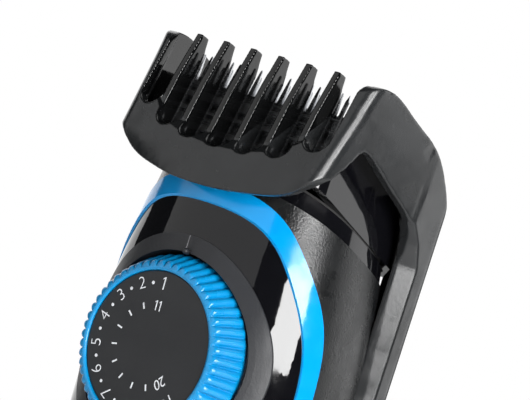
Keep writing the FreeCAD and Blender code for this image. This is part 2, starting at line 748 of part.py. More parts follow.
def comb_side_region():
    """Side view of the hood: front, round shoulder, rear, and the window's two sloping edges below."""
    front, low = -30.0, 134.0
    window = spline_edge([V(0, y, z) for y, z in window_edge])
    shoulder = spline_edge([V(0, y, z) for y, z in [
        (19.5, 138.0), (17.9, 143.6), (15.0, 151.3), (12.0, 155.2), (8.6, 158.3), (-0.6, 162.3),
        (-9.2, 164.9), (-12.2, 164.3), (-14.0, 162.5), (-15.2, 160.0), (-16.2, 156.5),
    ]])
    window_front, window_rear = window_edge[0], window_edge[-1]
    before = Part.makePolygon([V(0, -16.2, 156.5), V(0, front, 154.0), V(0, front, low), V(0, *window_front)])
    under = Part.makePolygon([V(0, *window_rear), V(0, 19.5, 138.0)])
    return side_prism(Part.Wire([window] + under.Edges + [shoulder] + before.Edges), -far, far)


def below_chin():
    """The space under the chin; its upper limit rises towards the sides."""
    edge = [(22.5, 151.5), (20.4, 148.5), (18.6, 146.7), (16.6, 145.2), (14.6, 144.3), (9.2, 143.1),
            (5.0, 142.5), (0.0, 142.3)]
    return front_face(edge, -30.0, 138.0).extrude(V(0, 17.0, 0))


def side_plan(front_points, inner_x, low):
    """Plan outline of a side of the comb: given front points, flat outside, rounded rear corner."""
    outer, rear, corner = size("comb_half_width"), size("arm_rear_y"), size("arm_corner")
    on_arc = corner * (1 - math.sqrt(0.5))
    turn_in, turn_out = V(outer, rear - corner, low), V(outer - corner, rear, low)
    front = Part.makePolygon([V(x, y, low) for x, y in front_points] + [turn_in])
    bend = Part.Arc(turn_in, V(outer - on_arc, rear - on_arc, low), turn_out).toShape()
    inside = Part.makePolygon([turn_out, V(inner_x, rear, low), V(inner_x, front_points[0][1], low)])
    return Part.Face(Part.Wire(front.Edges + [bend] + inside.Edges))


def rounded_rear():
    """Tall prism around the whole comb that rounds its two rear corners."""
    low, tall = size("arm_low") - 4.0, 90.0
    front = [(0.0, -30.0), (26.0, -30.0), (26.0, 8.0), (size("comb_half_width"), 8.5)]
    half = side_plan(front, 0.0, low).extrude(V(0, 0, tall))
    return half.fuse(mirrored(half))


def window_bevel():
    """Wedge that carries the bevel of the right-hand arm up along the window, where it dies out."""
    front, bevel, outer, past = size("arm_front_y"), size("arm_bevel"), size("comb_half_width"), 0.3
    low_inner = (outer - bevel - past, front - past)
    low_outer = (outer + past, front + bevel + past)
    levels = [(137.0, low_inner, low_outer), (140.0, low_inner, low_outer), (143.7, (21.1, 8.6), (22.9, 10.75)),
              (146.7, (21.8, 6.5), (22.9, 8.3)), (149.0, (22.8, 2.9), (22.95, 3.3))]
    rims = []
    for z, inner_point, outer_point in levels:
        corners = [inner_point, outer_point, (outer_point[0], inner_point[1]), inner_point]
        rims.append(Part.makePolygon([V(x, y, z) for x, y in corners]))
    return Part.makeLoft(rims, True, True)


def comb_front_opening():
    """Seven slots with round bottoms, one wide opening above them, and the ribs' stubs between."""
    half_slot = (size("rib_pitch") - size("rib_thick")) / 2
    above = 175.0
    faces = []
    for step, bottom in slot_bottoms:
        middle, straight = step * size("rib_pitch"), bottom + half_slot
        right, left = V(middle + half_slot, 0, straight), V(middle - half_slot, 0, straight)
        arc = Part.Arc(left, V(middle, 0, bottom), right).toShape()
        walls = Part.makePolygon([right, V(right.x, 0, above), V(left.x, 0, above), left])
        faces.append(Part.Face(Part.Wire([arc] + walls.Edges)))
    stub_tops = [(19.3, 158.0), (15.0, 154.0), (11.4, 152.0), (0.0, 151.0)]
    faces.append(front_face(stub_tops, 0.0, above))
    solids = []
    for face in faces:
        face.translate(V(0, -40.0, 0))
        solids.append(face.extrude(V(0, 80.0, 0)))
    return solids[0].multiFuse(solids[1:])


def comb_arm():
    """Right-hand arm below the hood: a bevelled rail with a channel inside for the slider's lug."""
    inner, outer, bevel = size("arm_inner_x"), size("comb_half_width"), size("arm_bevel")
    front, low = size("arm_front_y"), size("arm_low")
    outline = side_plan([(inner, front), (outer - bevel, front), (outer, front + bevel)], inner, low)
    arm = outline.extrude(V(0, 0, arm_split - low))
    channel_half = size("lug_depth") / 2 + 0.15
    channel = block(inner - 1.0, size("lug_reach") + 0.15, size("lug_y") - channel_half,
                    size("lug_y") + channel_half, low - 1.0, size("lug_high") + 0.1)
    return arm.cut(channel)


def comb_arm_root():
    """Right-hand arm beside the hood; it slopes out until it meets the inside of the side wall."""
    inner, outer, high = size("arm_inner_x"), size("comb_half_width"), size("arm_high")
    slope_start, wall_inside = high - 10.0, outer - size("comb_wall") + 0.05
    outline = [(inner, arm_split), (outer, arm_split), (outer, high), (wall_inside, high), (inner, slope_start)]
    front = size("arm_front_y") - 3.0
    corners = [V(x, front, z) for x, z in outline + outline[:1]]
    return Part.Face(Part.makePolygon(corners)).extrude(V(0, size("arm_rear_y") - front, 0))


def make_comb_frame():
    """Hood with its chin, slots and side windows, and the two arms that run down beside the handle."""
    hood = comb_hood(0.0).cut(comb_hood(size("comb_wall")))
    open_behind = block(-far, far, -far, 8.0, size("comb_low") - 1.0, 175.0)
    front_part = hood.common(open_behind).cut([comb_front_opening(), below_chin()])
    hood = front_part.fuse(hood.cut(open_behind))
    root, bevel, arm = comb_arm_root(), window_bevel(), comb_arm()
    upper = hood.fuse([root, mirrored(root)]).cut([bevel, mirrored(bevel)])
    upper = upper.common(comb_side_region()).common(rounded_rear())
    return fixed_shape("comb_frame", upper.fuse([arm, mirrored(arm)]).removeSplitter())


def blade_front_y(z):
    return size("blade_foot_y") + (z - size("blade_foot_z")) * math.tan(math.radians(size("blade_lean")))


def make_comb_ribs(frame):
    """Six upright ribs on the ledge; each is deepest half way up and ends in a short flat cap."""
    ledge, top = size("comb_ledge"), size("rib_top")
    foot = ledge - 1.0
    clear = 0.45
    outline = side_polygon([
        (rib_front_y(foot), foot), (rib_front_y(foot + 4.5), foot + 4.5),
        (rib_front_y(foot + 10.5) - 0.3, foot + 10.5), (rib_front_y(top), top),
        (rib_front_y(top) + 2.0, top - 0.4), (blade_front_y(161.0) - clear, 161.0),
        (blade_front_y(foot) - clear, foot),
    ])
    half = size("rib_thick") / 2
    ribs = []
    for step in (-2.5, -1.5, -0.5, 0.5, 1.5, 2.5):
        middle = step * size("rib_pitch")
        ribs.append(side_prism(outline, middle - half, middle + half))
    return fixed_shape("comb_ribs", Part.makeCompound([rib.cut(frame) for rib in ribs]))


# ------------------------------------------------------------------ cutting head

def tilt_to_blade(shape):
    """Move a shape drawn upright at the origin on to the leaning blade plane."""
    moved = shape.copy()
    moved.Placement = blade_placement()
    return moved


def blade_placement():
    lean = FreeCAD.Rotation(V(1, 0, 0), -size("blade_lean"))
    return FreeCAD.Placement(V(0, size("blade_foot_y"), size("blade_foot_z")), lean)


head_stations = [
    (136.0, 18.4, 15.0, 15.6),
    (146.0, 17.5, 14.3, 14.6),
    (152.0, 17.1, 13.4, 10.4),
    (156.0, 16.8, 12.0, 4.0),
    (159.0, 16.4, 10.6, -2.0),
]


def head_wire(station, inset):
    height, half_width, front, rear = station
    corner = 4.0 if rear > 0 else 2.0
    x, low, high = half_width - inset, -front + inset, rear - inset
    corner = max(corner - inset, 0.8)
    arc_in = corner * (1 - math.sqrt(0.5))
    stops = []
    for sx, sy, cx, cy in ((x, low, 1, 1), (x, high, 1, -1), (-x, high, -1, -1), (-x, low, -1, 1)):
        before = V(sx - cx * corner, sy, height)
        after = V(sx, sy + cy * corner, height)
        middle = V(sx - cx * arc_in, sy + cy * arc_in, height)
        stops.append((before, middle, after) if cx * cy > 0 else (after, middle, before))
    edges = []
    for k, (start, middle, end) in enumerate(stops):
        edges.append(Part.Arc(start, middle, end).toShape())
        edges.append(Part.LineSegment(end, stops[(k + 1) % 4][0]).toShape())
    return Part.Wire(edges)


def head_solid(inset, stations):
    return Part.makeLoft([head_wire(station, inset) for station in stations], True, False)


def make_head_housing():
    low = size("shell_top") + size("collar_height") + 0.62
    head = head_solid(0.0, head_stations).cut(half_space_below_tilt(low))
    seat = tilt_to_blade(block(-far, far, -far, size("blade_thick") + 0.02, -far, far))
    head = head.cut(seat)
    head = head.cut(head_solid(2.0, head_stations[:3]))
    blade_pocket = tilt_to_blade(block(-14.7, 14.7, -5.0, 3.0, 5.4, 40.0))
    drive_pocket = tilt_to_blade(block(-9.6, 9.6, -5.0, 5.4, -1.5, 40.0))
    holes = [tilt_to_blade(rod(1.2, (x, -1.0, 2.8), (0, 1, 0), 8.0)) for x in (-12.0, 12.0)]
    return fixed_shape("head_housing", head.cut([blade_pocket, drive_pocket] + holes))


def toothed_blade(label, half_width, low, top, front, shift):
    """A flat blade with evenly spaced gaps cut down from its upper edge."""
    body = new_body(label)
    plate = sketch(body, "XZ_Plane", str(-front))
    draw_rectangle(plate, f"-({half_width})", half_width, low, top)
    extrude_feature(body, plate, "Pad", "Sizes.blade_thick", backwards=True)
    gap = sketch(body, "XZ_Plane", str(-front))
    first = f"-({half_width}) + {shift}"
    draw_rectangle(gap, first, first + " + Sizes.tooth_gap", f"{top} - Sizes.tooth_length", f"{top} + 1")
    cut = extrude_feature(body, gap, "Pocket", "Sizes.blade_thick", backwards=False)
    rows = body.newObject("PartDesign::LinearPattern", "Gaps")
    rows.Originals = [cut]
    rows.Direction = (gap, ["H_Axis"])
    count = int((2 * size(half_width.split(".")[1]) - 2 * float(shift)) / size("tooth_pitch")) + 1
    rows.Length = size("tooth_pitch") * (count - 1)
    rows.Occurrences = count
    body.Tip = rows
    body.Placement = blade_placement()
    return body


def make_fixed_blade():
    body = toothed_blade("fixed_blade", "Sizes.blade_half_width", "0", "Sizes.blade_length", 0.0, "0.625")
    holes = sketch(body, "XZ_Plane")
    draw_circle(holes, "2.3", "-12", "2.8")
    draw_circle(holes, "2.3", "12", "2.8")
    body.Tip = extrude_feature(body, holes, "Pocket", "Sizes.blade_thick", backwards=False)


def make_moving_blade():
    toothed_blade("moving_blade", "Sizes.cutter_half_width", "5.8", "Sizes.blade_length - 0.9", 0.9, "0.375")


def make_blade_screws():
    screws = []
    for x in (-12.0, 12.0):
        head = rod(2.28, (x, 0.05, 2.8), (0, 1, 0), 0.75)
        shank = rod(1.18, (x, 0.1, 2.8), (0, 1, 0), 5.0)
        screws.append(tilt_to_blade(head.fuse(shank)))
    return fixed_shape("blade_screws", Part.makeCompound(screws))


def make_blade_carrier():
    """Plastic follower behind the moving blade; its foot reaches back over the drive pin."""
    carrier = tilt_to_blade(block(-7.0, 7.0, 1.72, 3.6, 2.4, 9.2))
    leg = side_prism(side_polygon([
        (-10.2, 151.4), (-10.9, 149.0), (-7.6, 139.0), (-5.4, 139.0), (-8.6, 150.4),
    ]), -5.0, 5.0)
    axis_y = size("motor_y")
    foot = block(-5.8, 5.8, -7.0, axis_y + 5.2, 136.2, 139.2)
    side_room = 2 * size("cutter_stroke") + drive_pin_radius + 0.3
    depth_room = size("cutter_stroke") + drive_pin_radius + 0.3
    window = block(-side_room, side_room, axis_y - depth_room, axis_y + depth_room, 130.0, 145.0)
    return fixed_shape("blade_carrier", carrier.fuse([leg, foot]).cut(window).removeSplitter())


def make_blade_spring():
    """Leaf that presses the moving blade's follower towards the fixed blade."""
    leaf = tilt_to_blade(block(-8.8, 8.8, 4.2, 4.5, 4.2, 6.2))
    return fixed_shape("blade_spring", leaf)


# ------------------------------------------------------------------ build, check and write

make_front_shell()
make_rear_shell()
make_accent_trim()
make_front_panel()
make_dial_bezel()
make_neck_collar()
make_neck_seal()
make_base_cap()
make_charging_socket()
make_socket_pins()
make_battery_cell()
make_battery_tabs()
make_circuit_board()
make_board_parts()
make_tact_switch()
make_status_light()
make_power_button()
make_housing_screws()
make_chassis()
make_dial_axle()
make_dial_retainer()
make_detent_spring()
make_motor_can()
make_motor_bracket()
make_motor_shaft()
make_drive_eccentric()
make_dial_knob()
make_dial_disc()
make_cam_plate()
make_comb_slider()
make_comb_ribs(make_comb_frame().Shape)
make_head_housing()
make_fixed_blade()
make_moving_blade()
make_blade_screws()
make_blade_carrier()
make_blade_spring()

doc.recompute()
for item in doc.Objects:
    if "Invalid" in item.State or "Error" in item.State:
        raise RuntimeError(f"{item.Label}: {item.State}")

os.makedirs("parts", exist_ok=True)
for part in node_names:
    shape = part.Shape
    if shape.isNull() or not shape.isValid() or not shape.Solids:
        raise RuntimeError(f"{part.Label} has no valid solid")
    shape.exportStep(f"parts/{part.Label}.step")
    bounds = shape.BoundBox
    print(f"{part.Label:16s} solids {len(shape.Solids)} volume {shape.Volume:9.2f} "
          f"x {bounds.XMin:7.2f} {bounds.XMax:7.2f} y {bounds.YMin:7.2f} {bounds.YMax:7.2f} "
          f"z {bounds.ZMin:7.2f} {bounds.ZMax:7.2f}")
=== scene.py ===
import json
import math

import bpy
from mathutils import Matrix, Vector


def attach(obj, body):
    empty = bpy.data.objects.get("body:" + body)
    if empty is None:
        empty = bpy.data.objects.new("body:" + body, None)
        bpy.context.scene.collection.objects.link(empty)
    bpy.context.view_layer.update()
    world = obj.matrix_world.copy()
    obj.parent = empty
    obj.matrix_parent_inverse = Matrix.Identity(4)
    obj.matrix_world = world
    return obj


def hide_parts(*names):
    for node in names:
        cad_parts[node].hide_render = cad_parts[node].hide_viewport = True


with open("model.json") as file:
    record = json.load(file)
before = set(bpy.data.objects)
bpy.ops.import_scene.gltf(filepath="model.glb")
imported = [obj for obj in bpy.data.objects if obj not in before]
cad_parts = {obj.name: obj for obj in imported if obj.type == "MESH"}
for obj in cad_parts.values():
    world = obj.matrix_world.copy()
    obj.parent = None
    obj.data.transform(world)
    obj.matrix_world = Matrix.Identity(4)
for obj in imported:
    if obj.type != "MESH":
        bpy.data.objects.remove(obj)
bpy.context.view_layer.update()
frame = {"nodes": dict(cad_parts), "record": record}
nodes = frame["nodes"]
scene = bpy.context.scene
MM = 0.001

# Places and sizes are in millimetres, but the lights' and the comb's gloss-and-painted-shade mask's are in
# metres.
DIAL_CENTRE = Vector((0.0, 0.0, 116.0))
DIAL_FACE = -19.0
DIAL_PLACE = Matrix.Translation(DIAL_CENTRE)
TEETH = 54
BUTTON_HEIGHT = 84.0


# ------------------------------------------------------------------ camera

def make_camera():
    """A long lens, level with the dial and to its right, rolled so that the handle leans."""
    azimuth, elevation, roll = math.radians(37.32), math.radians(-0.28), math.radians(17.92)
    distance, shift_right, shift_up = 417.1, 18.32, 22.63
    aim = DIAL_CENTRE + Vector((0.0, DIAL_FACE, 0.0))
    back = Vector((math.sin(azimuth) * math.cos(elevation), -math.cos(azimuth) * math.cos(elevation),
                   math.sin(elevation)))
    level = Vector((math.cos(azimuth), math.sin(azimuth), 0.0))
    upright = back.cross(level)
    right = level * math.cos(roll) + upright * math.sin(roll)
    up = upright * math.cos(roll) - level * math.sin(roll)
    place = aim + back * distance + right * shift_right + up * shift_up
    data = bpy.data.cameras.new("camera")
    data.sensor_width = 36.0
    data.lens = 183.02
    data.clip_start = 0.01
    data.dof.use_dof = False
    camera = bpy.data.objects.new("camera", data)
    scene.collection.objects.link(camera)
    turn = Matrix((right, up, back)).transposed().to_4x4()
    camera.matrix_world = Matrix.Translation(place * MM) @ turn
    scene.camera = camera


# ------------------------------------------------------------------ studio

def make_world():
    """White behind the object, and a dimmer white for what lights it and shows in its gloss."""
    world = bpy.data.worlds.new("studio")
    scene.world = world
    world.use_nodes = True
    tree = world.node_tree
    tree.nodes.clear()
    output = tree.nodes.new("ShaderNodeOutputWorld")
    mix = tree.nodes.new("ShaderNodeMixShader")
    seen = tree.nodes.new("ShaderNodeBackground")
    seen.inputs["Color"].default_value = (1.0, 1.0, 1.0, 1.0)
    seen.inputs["Strength"].default_value = 1.0
    lit = tree.nodes.new("ShaderNodeBackground")
    lit.inputs["Color"].default_value = (0.9, 0.95, 1.0, 1.0)
    lit.inputs["Strength"].default_value = 0.04
    path = tree.nodes.new("ShaderNodeLightPath")
    tree.links.new(path.outputs["Is Camera Ray"], mix.inputs["Fac"])
    tree.links.new(lit.outputs[0], mix.inputs[1])
    tree.links.new(seen.outputs[0], mix.inputs[2])
    tree.links.new(mix.outputs[0], output.inputs["Surface"])


def softbox(name, azimuth, elevation, distance, width, height, radiance):
    """A rectangular light facing the trimmer's upper part, sizes in metres.

    Azimuth 0 is in front of the dial and 90 on its right.
    """
    aim = Vector((0.0, 0.0, 0.13))
    turn, rise = math.radians(azimuth), math.radians(elevation)
    towards = Vector((math.sin(turn) * math.cos(rise), -math.cos(turn) * math.cos(rise), math.sin(rise)))
    data = bpy.data.lights.new(name, "AREA")
    data.shape = "RECTANGLE"
    data.size, data.size_y = width, height
    data.energy = radiance * math.pi * width * height
    light = bpy.data.objects.new(name, data)
    scene.collection.objects.link(light)
    light.matrix_world = (Matrix.Translation(aim + towards * distance)
                          @ towards.to_track_quat("Z", "Y").to_matrix().to_4x4())


def make_lights():
    """A wide dim panel in front, three bright strips on the right, and dim walls behind and above."""
    softbox("front_fill", -22.0, 16.0, 0.80, 1.25, 1.2, 0.80)
    softbox("right_key", 70.5, 8.0, 0.60, 0.39, 0.15, 20.0)
    softbox("corner_key", 66.0, -12.0, 0.60, 0.20, 0.08, 24.0)
    softbox("rib_key", 72.0, 22.0, 0.60, 0.30, 0.045, 22.0)
    softbox("right_rear", 154.0, 14.0, 0.80, 0.45, 0.60, 1.7)
    softbox("rear_wall", -128.0, 5.0, 1.00, 1.30, 1.30, 1.4)
    softbox("top", 150.0, 70.0, 0.80, 0.50, 0.40, 1.5)


def make_floor():
    """A plain pale square under the base, staged so that it isn't part of the object."""
    half = 600.0
    corners = [(-half, -half, 0.0), (half, -half, 0.0), (half, half, 0.0), (-half, half, 0.0)]
    floor = mesh_object("floor", corners, [(0, 1, 2, 3)], floor_material())


# ------------------------------------------------------------------ materials

def new_material(name):
    """A material with its node tree and its shader."""
    material = bpy.data.materials.new(name)
    material.use_nodes = True
    tree = material.node_tree
    return material, tree, tree.nodes["Principled BSDF"]


def object_noise(tree, scale, detail=4.0):
    """Cloudy noise fixed to the object."""
    place = tree.nodes.new("ShaderNodeTexCoord")
    noise = tree.nodes.new("ShaderNodeTexNoise")
    noise.inputs["Scale"].default_value = scale
    noise.inputs["Detail"].default_value = detail
    noise.inputs["Roughness"].default_value = 0.55
    tree.links.new(place.outputs["Object"], noise.inputs["Vector"])
    return noise


def ramp_from(tree, source, low, high):
    """A colour or grey ramp between low and high, over the middle of a noise's range."""
    ramp = tree.nodes.new("ShaderNodeValToRGB")
    ramp.color_ramp.elements[0].position = 0.35
    ramp.color_ramp.elements[1].position = 0.65
    ramp.color_ramp.elements[0].color = low
    ramp.color_ramp.elements[1].color = high
    tree.links.new(source, ramp.inputs["Fac"])
    return ramp


def grey(value):
    """An opaque grey, for ramps that carry a number."""
    return (value, value, value, 1.0)


def plastic(name, colour, rough, grain_scale, grain_depth, spread, coat=0.0, rough_spread=0.06):
    """Moulded plastic: blotchy colour, uneven gloss and a fine surface grain, its depth in metres."""
    material, tree, shader = new_material(name)
    blotch_scale, smear_scale, least_rough = 90.0, 260.0, 0.02
    blotch = object_noise(tree, blotch_scale)
    low = tuple(c * (1 - spread) for c in colour) + (1.0,)
    high = tuple(min(1.0, c * (1 + spread)) for c in colour) + (1.0,)
    tone = ramp_from(tree, blotch.outputs["Fac"], low, high)
    tree.links.new(tone.outputs["Color"], shader.inputs["Base Color"])
    smear = object_noise(tree, smear_scale)
    smoothest = grey(max(least_rough, rough - rough_spread))
    gloss = ramp_from(tree, smear.outputs["Fac"], smoothest, grey(rough + rough_spread))
    tree.links.new(gloss.outputs["Color"], shader.inputs["Roughness"])
    grain = object_noise(tree, grain_scale, 2.0)
    bump = tree.nodes.new("ShaderNodeBump")
    bump.inputs["Strength"].default_value = 1.0
    bump.inputs["Distance"].default_value = grain_depth
    tree.links.new(grain.outputs["Fac"], bump.inputs["Height"])
    tree.links.new(bump.outputs["Normal"], shader.inputs["Normal"])
    shader.inputs["Coat Weight"].default_value = coat
    shader.inputs["Coat Roughness"].default_value = 0.03
    return material


def calculate(tree, operation, first, second=0.0):
    """A math node's output; each input is a value or another node's output."""
    node = tree.nodes.new("ShaderNodeMath")
    node.operation = operation
    for socket, source in zip(node.inputs, (first, second)):
        if isinstance(source, (int, float)):
            socket.default_value = source
        else:
            tree.links.new(source, socket)
    return node.outputs[0]


def split_vector(tree, source):
    """The X, Y and Z outputs of a vector."""
    parts = tree.nodes.new("ShaderNodeSeparateXYZ")
    tree.links.new(source, parts.inputs[0])
    return parts.outputs["X"], parts.outputs["Y"], parts.outputs["Z"]


def comb_polish_and_shade(tree):
    """1 on the comb's glossy faces, which also get painted shade, and 0 on its satin ones, told apart by
    place (metres) and facing.
    """
    ledge_front, ledge_height, ledge_slope = -0.021, 0.1476, 0.9
    ledge_rise = 850.0
    end_slot = 0.0176
    inward, backward, upward = -0.2, 0.3, 0.4
    ledge_share = 0.7
    place = tree.nodes.new("ShaderNodeTexCoord")
    x, y, z = split_vector(tree, place.outputs["Object"])
    facing_x, facing_y, facing_z = split_vector(tree, place.outputs["Normal"])
    side = calculate(tree, "ABSOLUTE", x)
    between = calculate(tree, "LESS_THAN", side, end_slot)

    depth = calculate(tree, "ADD", y, -ledge_front)
    ledge = calculate(tree, "MULTIPLY", depth, ledge_slope)
    above = calculate(tree, "SUBTRACT", calculate(tree, "SUBTRACT", z, ledge_height), ledge)
    curve = calculate(tree, "MULTIPLY", calculate(tree, "POWER", side, 3.0), ledge_rise)
    on_rib = calculate(tree, "GREATER_THAN", calculate(tree, "SUBTRACT", above, curve), 0.0)
    rib = calculate(tree, "MULTIPLY", on_rib, between)

    outward = calculate(tree, "MULTIPLY", calculate(tree, "SIGN", x), facing_x)
    inner_side = calculate(tree, "LESS_THAN", outward, inward)
    faces_back = calculate(tree, "GREATER_THAN", facing_y, backward)
    inner_front = calculate(tree, "MULTIPLY", faces_back, between)
    faces_up = calculate(tree, "GREATER_THAN", facing_z, upward)
    ledge_top = calculate(tree, "MULTIPLY", calculate(tree, "MULTIPLY", faces_up, between), ledge_share)
    on_top = calculate(tree, "MAXIMUM", rib, ledge_top)
    return calculate(tree, "MAXIMUM", on_top, calculate(tree, "MAXIMUM", inner_side, inner_front))


def comb_plastic():
    """Satin outside; smooth and glossy on the ribs above the ledge and on faces that look inwards, where the
    colour is also darkened as painted shade.
    """
    # The second number is painted shade: the share of the colour kept on the glossy inward faces and ribs.
    polished_rough, painted_shade_tone = 0.09, 0.15
    material = plastic("comb_black", (0.017, 0.018, 0.019), 0.22, 1500.0, 0.000008, 0.15)
    tree = material.node_tree
    shader = tree.nodes["Principled BSDF"]
    polish_and_shade = comb_polish_and_shade(tree)
    satin = calculate(tree, "SUBTRACT", 1.0, polish_and_shade)
    satin_rough = calculate(tree, "MULTIPLY", shader.inputs["Roughness"].links[0].from_socket, satin)
    rough = calculate(tree, "ADD", satin_rough, calculate(tree, "MULTIPLY", polish_and_shade, polished_rough))
    tree.links.new(rough, shader.inputs["Roughness"])
    # Painted shade: the glossy inward faces and ribs get their colour scaled down to near black.
    shade_painted_colour = tree.nodes.new("ShaderNodeVectorMath")
    shade_painted_colour.operation = "SCALE"
    tree.links.new(shader.inputs["Base Color"].links[0].from_socket, shade_painted_colour.inputs[0])
    satin_tone = calculate(tree, "MULTIPLY", satin, 1.0 - painted_shade_tone)
    tree.links.new(calculate(tree, "ADD", satin_tone, painted_shade_tone), shade_painted_colour.inputs["Scale"])
    tree.links.new(shade_painted_colour.outputs["Vector"], shader.inputs["Base Color"])
    return material


def metal(name, colour, rough):
    """Ground steel: fine streaks along X in gloss and height."""
    material, tree, shader = new_material(name)
    shader.inputs["Metallic"].default_value = 1.0
    place = tree.nodes.new("ShaderNodeTexCoord")
    scale = tree.nodes.new("ShaderNodeMapping")
    scale.inputs["Scale"].default_value = (40.0, 900.0, 900.0)
    noise = tree.nodes.new("ShaderNodeTexNoise")
    noise.inputs["Scale"].default_value = 1.0
    tree.links.new(place.outputs["Object"], scale.inputs["Vector"])
    tree.links.new(scale.outputs["Vector"], noise.inputs["Vector"])
    dull = tuple(c * 0.8 for c in colour) + (1.0,)
    tone = ramp_from(tree, noise.outputs["Fac"], dull, tuple(colour) + (1.0,))
    tree.links.new(tone.outputs["Color"], shader.inputs["Base Color"])
    gloss = ramp_from(tree, noise.outputs["Fac"], grey(rough * 0.7), grey(rough * 1.3))
    tree.links.new(gloss.outputs["Color"], shader.inputs["Roughness"])
    bump = tree.nodes.new("ShaderNodeBump")
    bump.inputs["Strength"].default_value = 0.5
    bump.inputs["Distance"].default_value = 0.00001
    tree.links.new(noise.outputs["Fac"], bump.inputs["Height"])
    tree.links.new(bump.outputs["Normal"], shader.inputs["Normal"])
    return material


def floor_material():
    """Matt white board."""
    return plastic("floor_white", (0.82, 0.82, 0.82), 0.7, 400.0, 0.00002, 0.02)


# ------------------------------------------------------------------ mesh helpers

def mesh_object(name, points, faces, material, place=None):
    """A smooth-shaded mesh from points in millimetres, optionally moved by a matrix in millimetres."""
    mesh = bpy.data.meshes.new(name)
    placed = [(place @ Vector(p) if place else Vector(p)) * MM for p in points]
    mesh.from_pydata([tuple(p) for p in placed], [], faces)
    mesh.shade_smooth()
    mesh.materials.append(material)
    piece = bpy.data.objects.new(name, mesh)
    scene.collection.objects.link(piece)
    return piece


def turned(rows, columns, wave=None):
    """Skin turned about the Y axis. Each row is radius, y and how far wave moves the radius in."""
    points, faces = [], []
    for radius, y, depth in rows:
        for k in range(columns):
            angle = 2 * math.pi * k / columns
            r = radius - (depth * wave(angle) if depth else 0.0)
            points.append((r * math.sin(angle), y, r * math.cos(angle)))
    for i in range(len(rows) - 1):
        for k in range(columns):
            here, there = i * columns, (i + 1) * columns
            after = (k + 1) % columns
            faces.append((here + k, here + after, there + after, there + k))
    faces.append(tuple(range(columns - 1, -1, -1)))
    faces.append(tuple((len(rows) - 1) * columns + k for k in range(columns)))
    return points, faces


def merge(parts):
    """One point and face list from several."""
    points, faces = [], []
    for more_points, more_faces in parts:
        offset = len(points)
        points.extend(more_points)
        faces.extend(tuple(offset + k for k in face) for face in more_faces)
    return points, faces


def moved(part, place):
    """The same part, carried by a matrix in millimetres."""
    points, faces = part
    return [tuple(place @ Vector(p)) for p in points], faces


def closed_plate(near, far):
    """Skin between two outlines with as many points each; near runs anticlockwise seen from its side."""
    n = len(near)
    faces = [tuple(range(n)), tuple(range(2 * n - 1, n - 1, -1))]
    faces += [((k + 1) % n, k, n + k, n + (k + 1) % n) for k in range(n)]
    return list(near) + list(far), faces


def thin_plate(outline):
    """A printed shape: an outline raised a few hundredths of a millimetre from z = 0."""
    sunk, raised = -0.02, 0.015
    return closed_plate([(x, y, raised) for x, y in outline], [(x, y, sunk) for x, y in outline])


# ------------------------------------------------------------------ dial

def tooth_wave(angle):
    """0 on the round back of a tooth and 1 in the groove between two."""
    across = (angle * TEETH / (2 * math.pi)) % 1.0 * 2.0 - 1.0
    return 1.0 - math.sqrt(max(0.0, 1.0 - 0.96 * across * across))


def make_dial_grip():
    """Knurled ring from its hidden rear bore to the step round the disc."""
    rows = [
        (4.0, -17.55, 0.0), (12.03, -17.55, 0.0), (12.03, -19.1, 0.0), (12.12, -19.28, 0.0),
        (12.45, -19.34, 0.0), (12.65, -19.3, 0.05), (12.95, -19.22, 0.35), (13.3, -19.1, 0.65),
        (13.6, -18.85, 0.95), (13.8, -18.4, 1.15), (14.1, -17.7, 1.25), (14.45, -16.9, 1.25),
        (14.85, -16.0, 1.25), (15.15, -15.2, 1.2), (15.3, -14.6, 1.1), (15.3, -14.1, 0.7),
        (15.1, -13.75, 0.2), (14.8, -13.5, 0.0), (14.8, -12.8, 0.0), (2.1, -12.8, 0.0),
    ]
    points, faces = turned(rows, TEETH * 12, tooth_wave)
    grip = mesh_object("dial_grip", points, faces, finishes["blue_dial"], DIAL_PLACE)
    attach(grip, "dial")
    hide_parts("dial_knob")


def make_dial_disc():
    """Flat numbered disc with a fine rounded rim."""
    radius, thickness = 11.98, 1.4
    rows = [
        (0.4, DIAL_FACE, 0.0), (4.0, DIAL_FACE, 0.0), (8.0, DIAL_FACE, 0.0), (11.6, DIAL_FACE, 0.0),
        (11.85, DIAL_FACE + 0.03, 0.0), (11.96, DIAL_FACE + 0.12, 0.0), (radius, DIAL_FACE + 0.3, 0.0),
        (radius, DIAL_FACE + thickness, 0.0),
    ]
    points, faces = turned(rows, 144)
    disc = mesh_object("dial_disc_face", points, faces, finishes["dial_face"], DIAL_PLACE)
    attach(disc, "dial")
    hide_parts("dial_disc")


def on_dial(radius, turn):
    """Place on the disc's face: radius from the centre, turn anticlockwise from the pointer."""
    lift = 0.02
    angle = math.radians(turn)
    outward = Vector((-math.sin(angle), 0.0, math.cos(angle)))
    across = Vector((math.cos(angle), 0.0, math.sin(angle)))
    towards_eye = Vector((0.0, -1.0, 0.0))
    turn_to = Matrix((across, outward, towards_eye)).transposed().to_4x4()
    spot = DIAL_CENTRE + outward * radius + Vector((0.0, DIAL_FACE - lift, 0.0))
    return Matrix.Translation(spot) @ turn_to


def printed_text(name, text, height, spot, thicken, shear=0.0):
    """A figure printed at a spot on the dial; thicken widens its strokes, or thins them below 0."""
    curve = bpy.data.curves.new(name, "FONT")
    curve.body = text
    curve.align_x = "CENTER"
    curve.align_y = "CENTER"
    curve.size = height * 1.4 * MM
    curve.offset = thicken * MM
    curve.extrude = 0.01 * MM
    curve.shear = shear
    curve.resolution_u = 6
    curve.space_character = 0.92
    curve.materials.append(print_white)
    label = bpy.data.objects.new(name, curve)
    scene.collection.objects.link(label)
    place = spot.copy()
    place.translation = place.translation * MM
    label.matrix_world = place
    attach(label, "dial")


def rectangle(half_width, low, high):
    """Corners of an upright rectangle, anticlockwise."""
    return [(-half_width, low), (half_width, low), (half_width, high), (-half_width, high)]


def beside(distance):
    """A move to the right of a printed figure."""
    return Matrix.Translation((distance, 0.0, 0.0))


